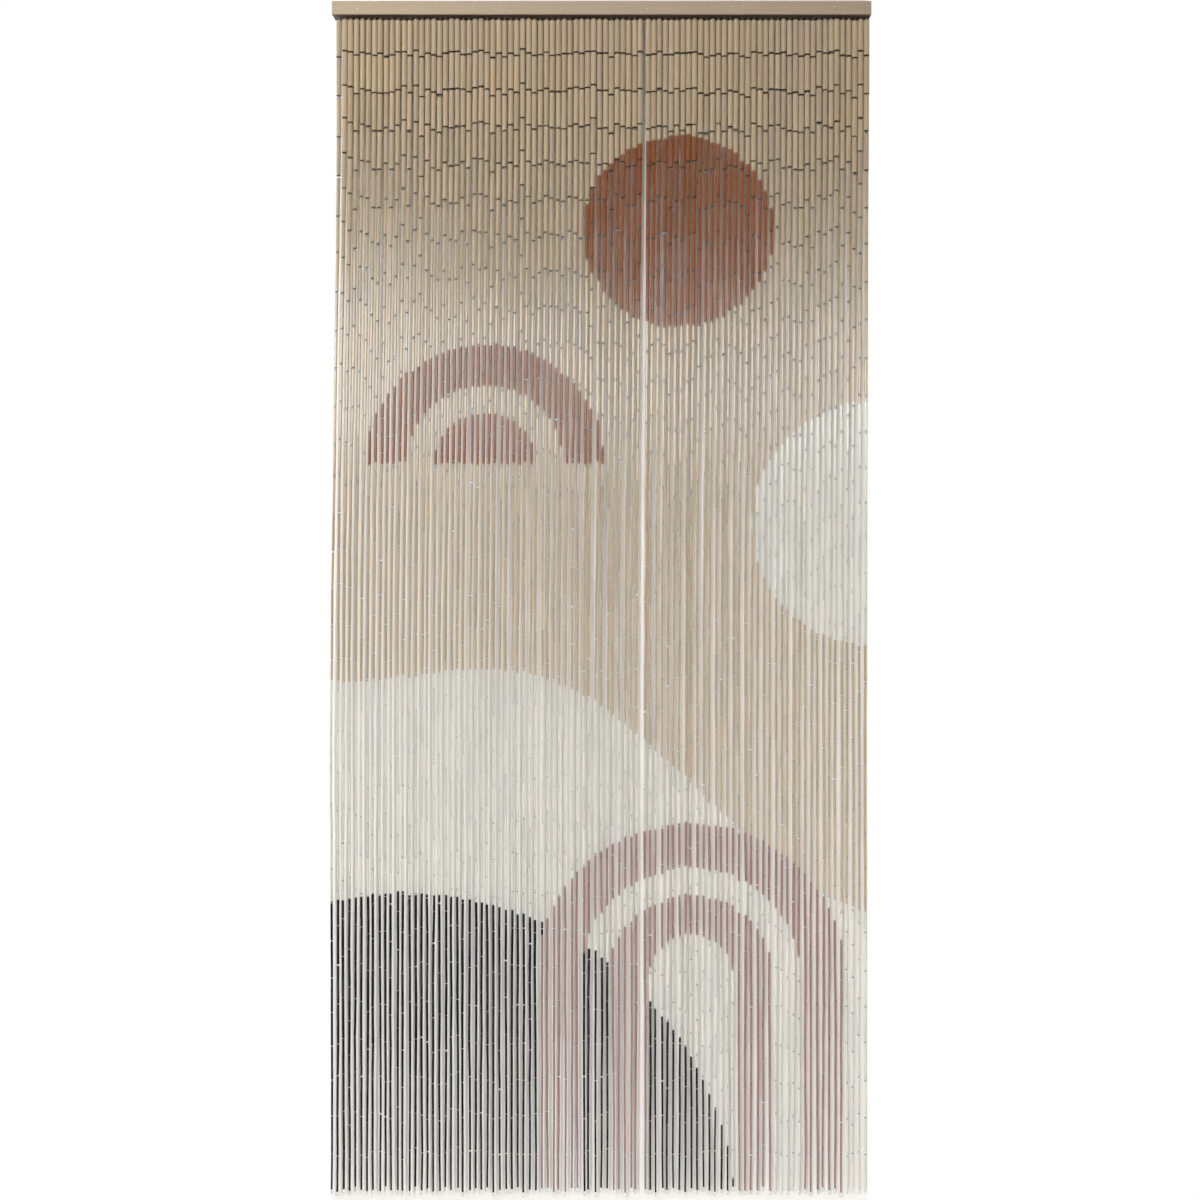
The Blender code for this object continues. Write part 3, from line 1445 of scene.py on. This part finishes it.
    def tubes(self, name: str, strands: list[Strand], finishes: Finishes) -> bpy.types.Object:
        """Build the tubes of some strands.

        Args:
            name: The piece's name.
            strands: The strands.
            finishes: The materials.

        Returns:
            The piece.
        """
        pattern = self.tube.pattern()
        heights = np.array([point.co.z for point in pattern.vertices])
        places, where, marks = [], [], []
        for strand in strands:
            lift = float(self.chance.normal(0.0, self.design_lift))
            across = self.row.place(strand.number)
            for top, foot, width in zip(strand.tops, strand.feet, strand.widths):
                axis = top - foot
                turn = axis.to_track_quat("Z", "Y").to_matrix().to_4x4()
                spun = Matrix.Rotation(float(self.chance.uniform(0.0, math.tau)), 4, "Z")
                size = Matrix.Diagonal((width, width, axis.length, 1.0))
                places.append(np.array(Matrix.Translation((top + foot) / 2) @ turn @ spun @ size))
                along = heights * axis.length
                same = np.tile([across, lift], (len(heights), 1))
                where.append(np.column_stack([same, along]))
                drawn = [self.chance.random(), self.chance.random(), axis.length / 2]
                marks.append(np.tile(drawn, (len(heights), 1)))
        facts = {PLACE_FACT: np.array(where), MARKS_FACT: np.array(marks)}
        return Swarm(name, pattern, np.array(places), [finishes.reed, finishes.sawn], facts).build()

    def hooked(self, above: Vector, below: Vector, width: float, turn: float) -> list[np.ndarray]:
        """Place the two hooks that link one tube's foot to the next one's top.

        Args:
            above: The foot of the upper tube.
            below: The top of the lower tube.
            width: The tubes' thickness.
            turn: How far the pair is turned about the strand.

        Returns:
            The two matrices.
        """
        middle = (above + below) / 2
        bore = width * self.tube.bore / 2
        size = min(1.0, bore * self.hook_ease / (self.hook.bend + self.hook.wire))
        hold = self.hook.bend * size - self.hook.wire * self.hook_hold * size
        scale = Matrix.Scale(size, 4)
        spin = Matrix.Rotation(turn, 4, "Z")
        cross = Matrix.Rotation(math.pi / 2, 4, "Z") @ Matrix.Rotation(math.pi, 4, "X")
        upper = Matrix.Translation(middle + Vector((0.0, 0.0, hold))) @ spin @ scale
        lower = Matrix.Translation(middle - Vector((0.0, 0.0, hold))) @ spin @ cross @ scale
        return [np.array(upper), np.array(lower)]

    def links(self, name: str, strands: list[Strand], finish: bpy.types.Material) -> bpy.types.Object:
        """Build the wire links of some strands.

        Args:
            name: The piece's name.
            strands: The strands.
            finish: The wire's material.

        Returns:
            The piece.
        """
        places = []
        for strand in strands:
            for above, below, width in zip(strand.feet, strand.tops[1:], strand.widths[1:]):
                places += self.hooked(above, below, width, float(self.chance.uniform(0.0, math.pi)))
        return Swarm(name, self.hook.pattern(), np.array(places), [finish]).build()

    def eyes(self, finish: bpy.types.Material) -> bpy.types.Object:
        """Build the wire eyes that hold each strand's first tube to the rail.

        Args:
            finish: The wire's material.

        Returns:
            The piece.
        """
        places = []
        for strand in self.strands:
            top = strand.tops[0]
            seat = Vector((top.x, top.y, self.row.rail_bottom))
            turn = float(self.chance.uniform(-self.eye_turn, self.eye_turn))
            places += self.hooked(seat, top, strand.widths[0], turn)
        return Swarm("wire_eyes", self.hook.pattern(), np.array(places), [finish]).build()

    def foot_loops(self, finish: bpy.types.Material) -> bpy.types.Object:
        """Build the wire loop at the foot of each strand.

        Args:
            finish: The wire's material.

        Returns:
            The piece.
        """
        places = []
        inset = self.loop.wire * 2.0
        for strand in self.strands:
            seat = strand.feet[-1] + Vector((0.0, 0.0, inset))
            turn = Matrix.Rotation(float(self.chance.uniform(0.0, math.pi)), 4, "Z")
            lean = Matrix.Rotation(float(self.chance.normal(0.0, self.loop_lean)), 4, "Y")
            places.append(np.array(Matrix.Translation(seat) @ turn @ lean))
        return Swarm("foot_loops", self.loop.pattern(), np.array(places), [finish]).build()

    def build(self, finishes: Finishes) -> None:
        """Build every piece of the strands and set them in place of their solid.

        Args:
            finishes: The materials.
        """
        for number, strands in enumerate(self.share_out(), start=1):
            dress(self.tubes(f"reed_tubes_{number}", strands, finishes))
            dress(self.links(f"wire_links_{number}", strands, finishes.wire))
        dress(self.eyes(finishes.wire))
        dress(self.foot_loops(finishes.wire))


def dress(piece: bpy.types.Object) -> None:
    """Let a piece of the strands stand for their solid.

    Args:
        piece: The piece.
    """
    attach(piece, "root")
    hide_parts("reed_strands")
    LOG.info("%s: %d faces", piece.name, len(piece.data.polygons))


@dataclass(frozen=True)
class HeadRail:
    """The batten, which keeps its solid and gets its real finish."""

    node: str = "head_rail"

    def build(self, nodes: dict, finishes: Finishes) -> None:
        """Paint the batten.

        Args:
            nodes: The frame's nodes by name.
            finishes: The materials.
        """
        rail = nodes[self.node]
        for slot in rail.material_slots:
            slot.material = finishes.rail
        LOG.info("%s: painted", self.node)


@dataclass(frozen=True)
class SoftBox:
    """One soft lamp.

    Args:
        name: Its name.
        place: Where it hangs.
        aim: What it points at.
        size: Its width and height.
        power: Its strength in watts.
        spread: How wide it throws, in degrees.
        glossy: Whether gloss mirrors it.
    """

    name: str
    place: tuple
    aim: tuple
    size: tuple
    power: float
    spread: float
    glossy: bool


SOFT_BOXES = (
    SoftBox(
        name="front",
        place=(-0.45, -2.50, -0.33),
        aim=(-0.25, 0.0, -0.90),
        size=(2.60, 0.55),
        power=7.6,
        spread=110.0,
        glossy=True,
    ),
    SoftBox(
        name="left_wing",
        place=(-2.20, -1.50, -0.33),
        aim=(-0.30, 0.0, -0.8),
        size=(1.50, 0.55),
        power=4.4,
        spread=110.0,
        glossy=True,
    ),
    SoftBox(
        name="right_wing",
        place=(1.90, -1.70, -0.45),
        aim=(0.20, 0.0, -1.3),
        size=(1.20, 0.50),
        power=1.6,
        spread=110.0,
        glossy=True,
    ),
    SoftBox(
        name="corner",
        place=(-1.05, -0.90, 0.10),
        aim=(-0.55, 0.0, 0.0),
        size=(0.45, 0.45),
        power=7.2,
        spread=180.0,
        glossy=False,
    ),
    SoftBox(
        name="lower",
        place=(0.30, -2.40, -1.65),
        aim=(0.15, 0.0, -1.45),
        size=(1.00, 0.60),
        power=5.0,
        spread=100.0,
        glossy=False,
    ),
)


@dataclass(frozen=True)
class Studio:
    """The wall close behind, the floor, the light and the camera.

    Args:
        wall_y: The wall's depth.
        wall_top: The height of its upper edge.
        wall_colour: Its linear colour.
        floor_z: The floor's height.
        floor_colour: Its linear colour.
        reach: How far the wall and the floor go to each side.
        matt: The roughness of their paint.
        shine: Their shine.
        row: How the strands hang.
        margin: How far the first and the last strand's tubes stand out past their middles.
        left_fade: How far left of the strands the wall turns blank, from start to full.
        right_fade: The same on their right.
        key_aim: What the key light points at.
        key_distance: How far off it stands.
        key_turn: How far it is turned to the left of the viewer.
        key_rise: How high it stands.
        key_width: How wide it looks.
        key_power: Its strength.
        sky: The strength of the sky.
        rail_front: The depth of the rail's front.
        eye_x: The camera's place across.
        eye_z: Its height.
        eye_distance: Its distance from the rail's front.
        frame_width: The width that it sees there.
        shift: How far its lens is shifted, as shares of the frame.
        film_width: Its film's width in millimetres.
    """

    wall_y: float = 0.0015
    wall_top: float = 1.2
    wall_colour: tuple = (0.80, 0.785, 0.755)
    floor_z: float = -2.050
    floor_colour: tuple = (0.80, 0.79, 0.77)
    reach: float = 4.0
    matt: float = 0.9
    shine: float = 0.1
    row: StrandRow = field(default_factory=StrandRow)
    margin: float = 0.0043
    left_fade: tuple = (0.0, 0.0010)
    right_fade: tuple = (0.0010, 0.0020)
    key_aim: tuple = (0.0, 0.0, -1.0)
    key_distance: float = 3.0
    key_turn: float = math.radians(17.0)
    key_rise: float = math.radians(30.0)
    key_width: float = math.radians(5.0)
    key_power: float = 1.65
    sky: float = 0.03
    rail_front: float = -0.028
    eye_x: float = 0.0507
    eye_z: float = -0.8675
    eye_distance: float = 2.30
    frame_width: float = 2.0004
    shift: tuple = (-0.02667, -0.06)
    film_width: float = 36.0

    def plain_material(self, name: str, colour: tuple) -> tuple:
        """Start matt paint for the wall or the floor.

        Args:
            name: The material's name.
            colour: Its linear colour.

        Returns:
            The material, its wiring and its shader node.
        """
        material, wiring, shader = start_material(name)
        shader.inputs["Base Color"].default_value = (*colour, 1.0)
        shader.inputs["Roughness"].default_value = self.matt
        shader.inputs["Specular IOR Level"].default_value = self.shine
        return material, wiring, shader

    def wall_material(self) -> bpy.types.Material:
        """White paint that the camera sees as blank beside the strands, and sees through from behind.

        Returns:
            The material.
        """
        material, wiring, shader = self.plain_material("white_wall", self.wall_colour)
        row = self.row
        across, _, height = wiring.split(wiring.place())
        drop = wiring.math("SUBTRACT", row.tubes_top, height)

        # The row's two sides, which drift to the left lower down
        eased = wiring.add("ShaderNodeMapRange", interpolation_type="SMOOTHSTEP")
        wiring.feed(eased.inputs["Value"], wiring.math("DIVIDE", drop, row.spread_depth))
        drift = eased.outputs["Result"]
        first, last = row.place(0) - self.margin, row.place(row.count - 1) + self.margin
        left = wiring.math("SUBTRACT", first, wiring.math("MULTIPLY", drift, row.spread_left))
        right = wiring.math("SUBTRACT", last, wiring.math("MULTIPLY", drift, row.spread_right))
        beyond_left = wiring.ramp(wiring.math("SUBTRACT", left, across), *self.left_fade)
        beyond_right = wiring.ramp(wiring.math("SUBTRACT", across, right), *self.right_fade)
        outside = wiring.math("MAXIMUM", beyond_left, beyond_right)

        seen = wiring.add("ShaderNodeLightPath").outputs["Is Camera Ray"]
        behind = wiring.add("ShaderNodeNewGeometry").outputs["Backfacing"]
        blank = wiring.add("ShaderNodeEmission")
        clear = wiring.add("ShaderNodeBsdfTransparent")
        front, whole = wiring.add("ShaderNodeMixShader"), wiring.add("ShaderNodeMixShader")
        wiring.feed(front.inputs[0], wiring.math("MULTIPLY", outside, seen))
        wiring.feed(front.inputs[1], shader.outputs["BSDF"])
        wiring.feed(front.inputs[2], blank.outputs["Emission"])
        wiring.feed(whole.inputs[0], wiring.math("MULTIPLY", behind, seen))
        wiring.feed(whole.inputs[1], front.outputs["Shader"])
        wiring.feed(whole.inputs[2], clear.outputs["BSDF"])
        wiring.feed(material.node_tree.nodes["Material Output"].inputs["Surface"], whole.outputs["Shader"])
        return material

    def sheet(self, name: str, size: tuple, place: Matrix, finish: bpy.types.Material) -> bpy.types.Object:
        """A flat backdrop.

        Args:
            name: Its name.
            size: Its width and length.
            place: Where it goes.
            finish: Its material.

        Returns:
            The object.
        """
        shape = bmesh.new()
        bmesh.ops.create_grid(shape, x_segments=1, y_segments=1, size=0.5)
        bmesh.ops.scale(shape, vec=(size[0], size[1], 1.0), verts=shape.verts)
        bmesh.ops.transform(shape, matrix=place, verts=shape.verts)
        mesh = bpy.data.meshes.new(name)
        shape.to_mesh(mesh)
        shape.free()
        mesh.materials.append(finish)
        piece = bpy.data.objects.new(name, mesh)
        bpy.context.scene.collection.objects.link(piece)
        return piece

    def backdrop(self) -> None:
        """Set up the floor and the wall."""
        pale = self.plain_material("pale_floor", self.floor_colour)[0]
        wide = self.reach * 2
        self.sheet("floor", (wide, wide), Matrix.Translation((0.0, 0.0, self.floor_z)), pale)
        height = self.wall_top - self.floor_z
        upright = Matrix.Rotation(math.pi / 2, 4, "X")
        place = Matrix.Translation((0.0, self.wall_y, self.floor_z + height / 2)) @ upright
        self.sheet("wall", (wide, height), place, self.wall_material())

    def lamp(self, name: str, kind: str, power: float, place: Vector, aim: Vector) -> bpy.types.Object:
        """Hang one lamp that the camera doesn't see.

        Args:
            name: Its name.
            kind: Blender's light type.
            power: Its strength.
            place: Where it hangs.
            aim: What it points at.

        Returns:
            The lamp.
        """
        light = bpy.data.lights.new(name, kind)
        light.energy = power
        holder = bpy.data.objects.new(name, light)
        holder.location = place
        holder.rotation_euler = (aim - place).to_track_quat("-Z", "Y").to_euler()
        holder.visible_camera = False
        bpy.context.scene.collection.objects.link(holder)
        return holder

    def light(self) -> None:
        """A high soft key from the left, soft boxes low in front, and a pale sky."""
        aim = Vector(self.key_aim)
        sideways = math.sin(self.key_turn) * math.cos(self.key_rise)
        towards = math.cos(self.key_turn) * math.cos(self.key_rise)
        place = aim + Vector((-sideways, -towards, math.sin(self.key_rise))) * self.key_distance
        self.lamp("key", "SUN", self.key_power, place, aim).data.angle = self.key_width
        for box in SOFT_BOXES:
            holder = self.lamp(box.name, "AREA", box.power, Vector(box.place), Vector(box.aim))
            holder.visible_glossy = box.glossy
            holder.data.shape = "RECTANGLE"
            holder.data.size, holder.data.size_y = box.size
            holder.data.spread = math.radians(box.spread)
        world = bpy.data.worlds.new("sky")
        world.use_nodes = True
        bpy.context.scene.world = world
        wiring = Wiring(world.node_tree)
        ground = world.node_tree.nodes["Background"]
        ground.inputs["Color"].default_value = (1.0, 1.0, 1.0, 1.0)
        seen = wiring.add("ShaderNodeLightPath").outputs["Is Camera Ray"]
        wiring.feed(ground.inputs["Strength"], wiring.ramp(seen, 0.0, 1.0, self.sky, 1.0))

    def camera(self) -> None:
        """Look at the curtain face on, a little right of its middle, with the whole of it in view."""
        view = bpy.data.cameras.new("camera")
        view.sensor_width = self.film_width
        view.lens = view.sensor_width * self.eye_distance / self.frame_width
        view.shift_x, view.shift_y = self.shift
        holder = bpy.data.objects.new("camera", view)
        holder.location = (self.eye_x, self.rail_front - self.eye_distance, self.eye_z)
        holder.rotation_euler = (math.pi / 2, 0.0, 0.0)
        bpy.context.scene.collection.objects.link(holder)
        bpy.context.scene.camera = holder
        bpy.context.scene.view_settings.view_transform = "Standard"

    def build(self) -> None:
        """Set up everything that isn't part of the curtain."""
        self.backdrop()
        self.light()
        self.camera()


def main() -> None:
    """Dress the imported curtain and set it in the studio."""
    logging.basicConfig(level=logging.INFO, format="%(message)s")
    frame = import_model()
    finishes = Finishes()
    HeadRail().build(frame["nodes"], finishes)
    ReedCurtain().build(finishes)
    Studio().build()


if __name__ == "__main__":
    main()
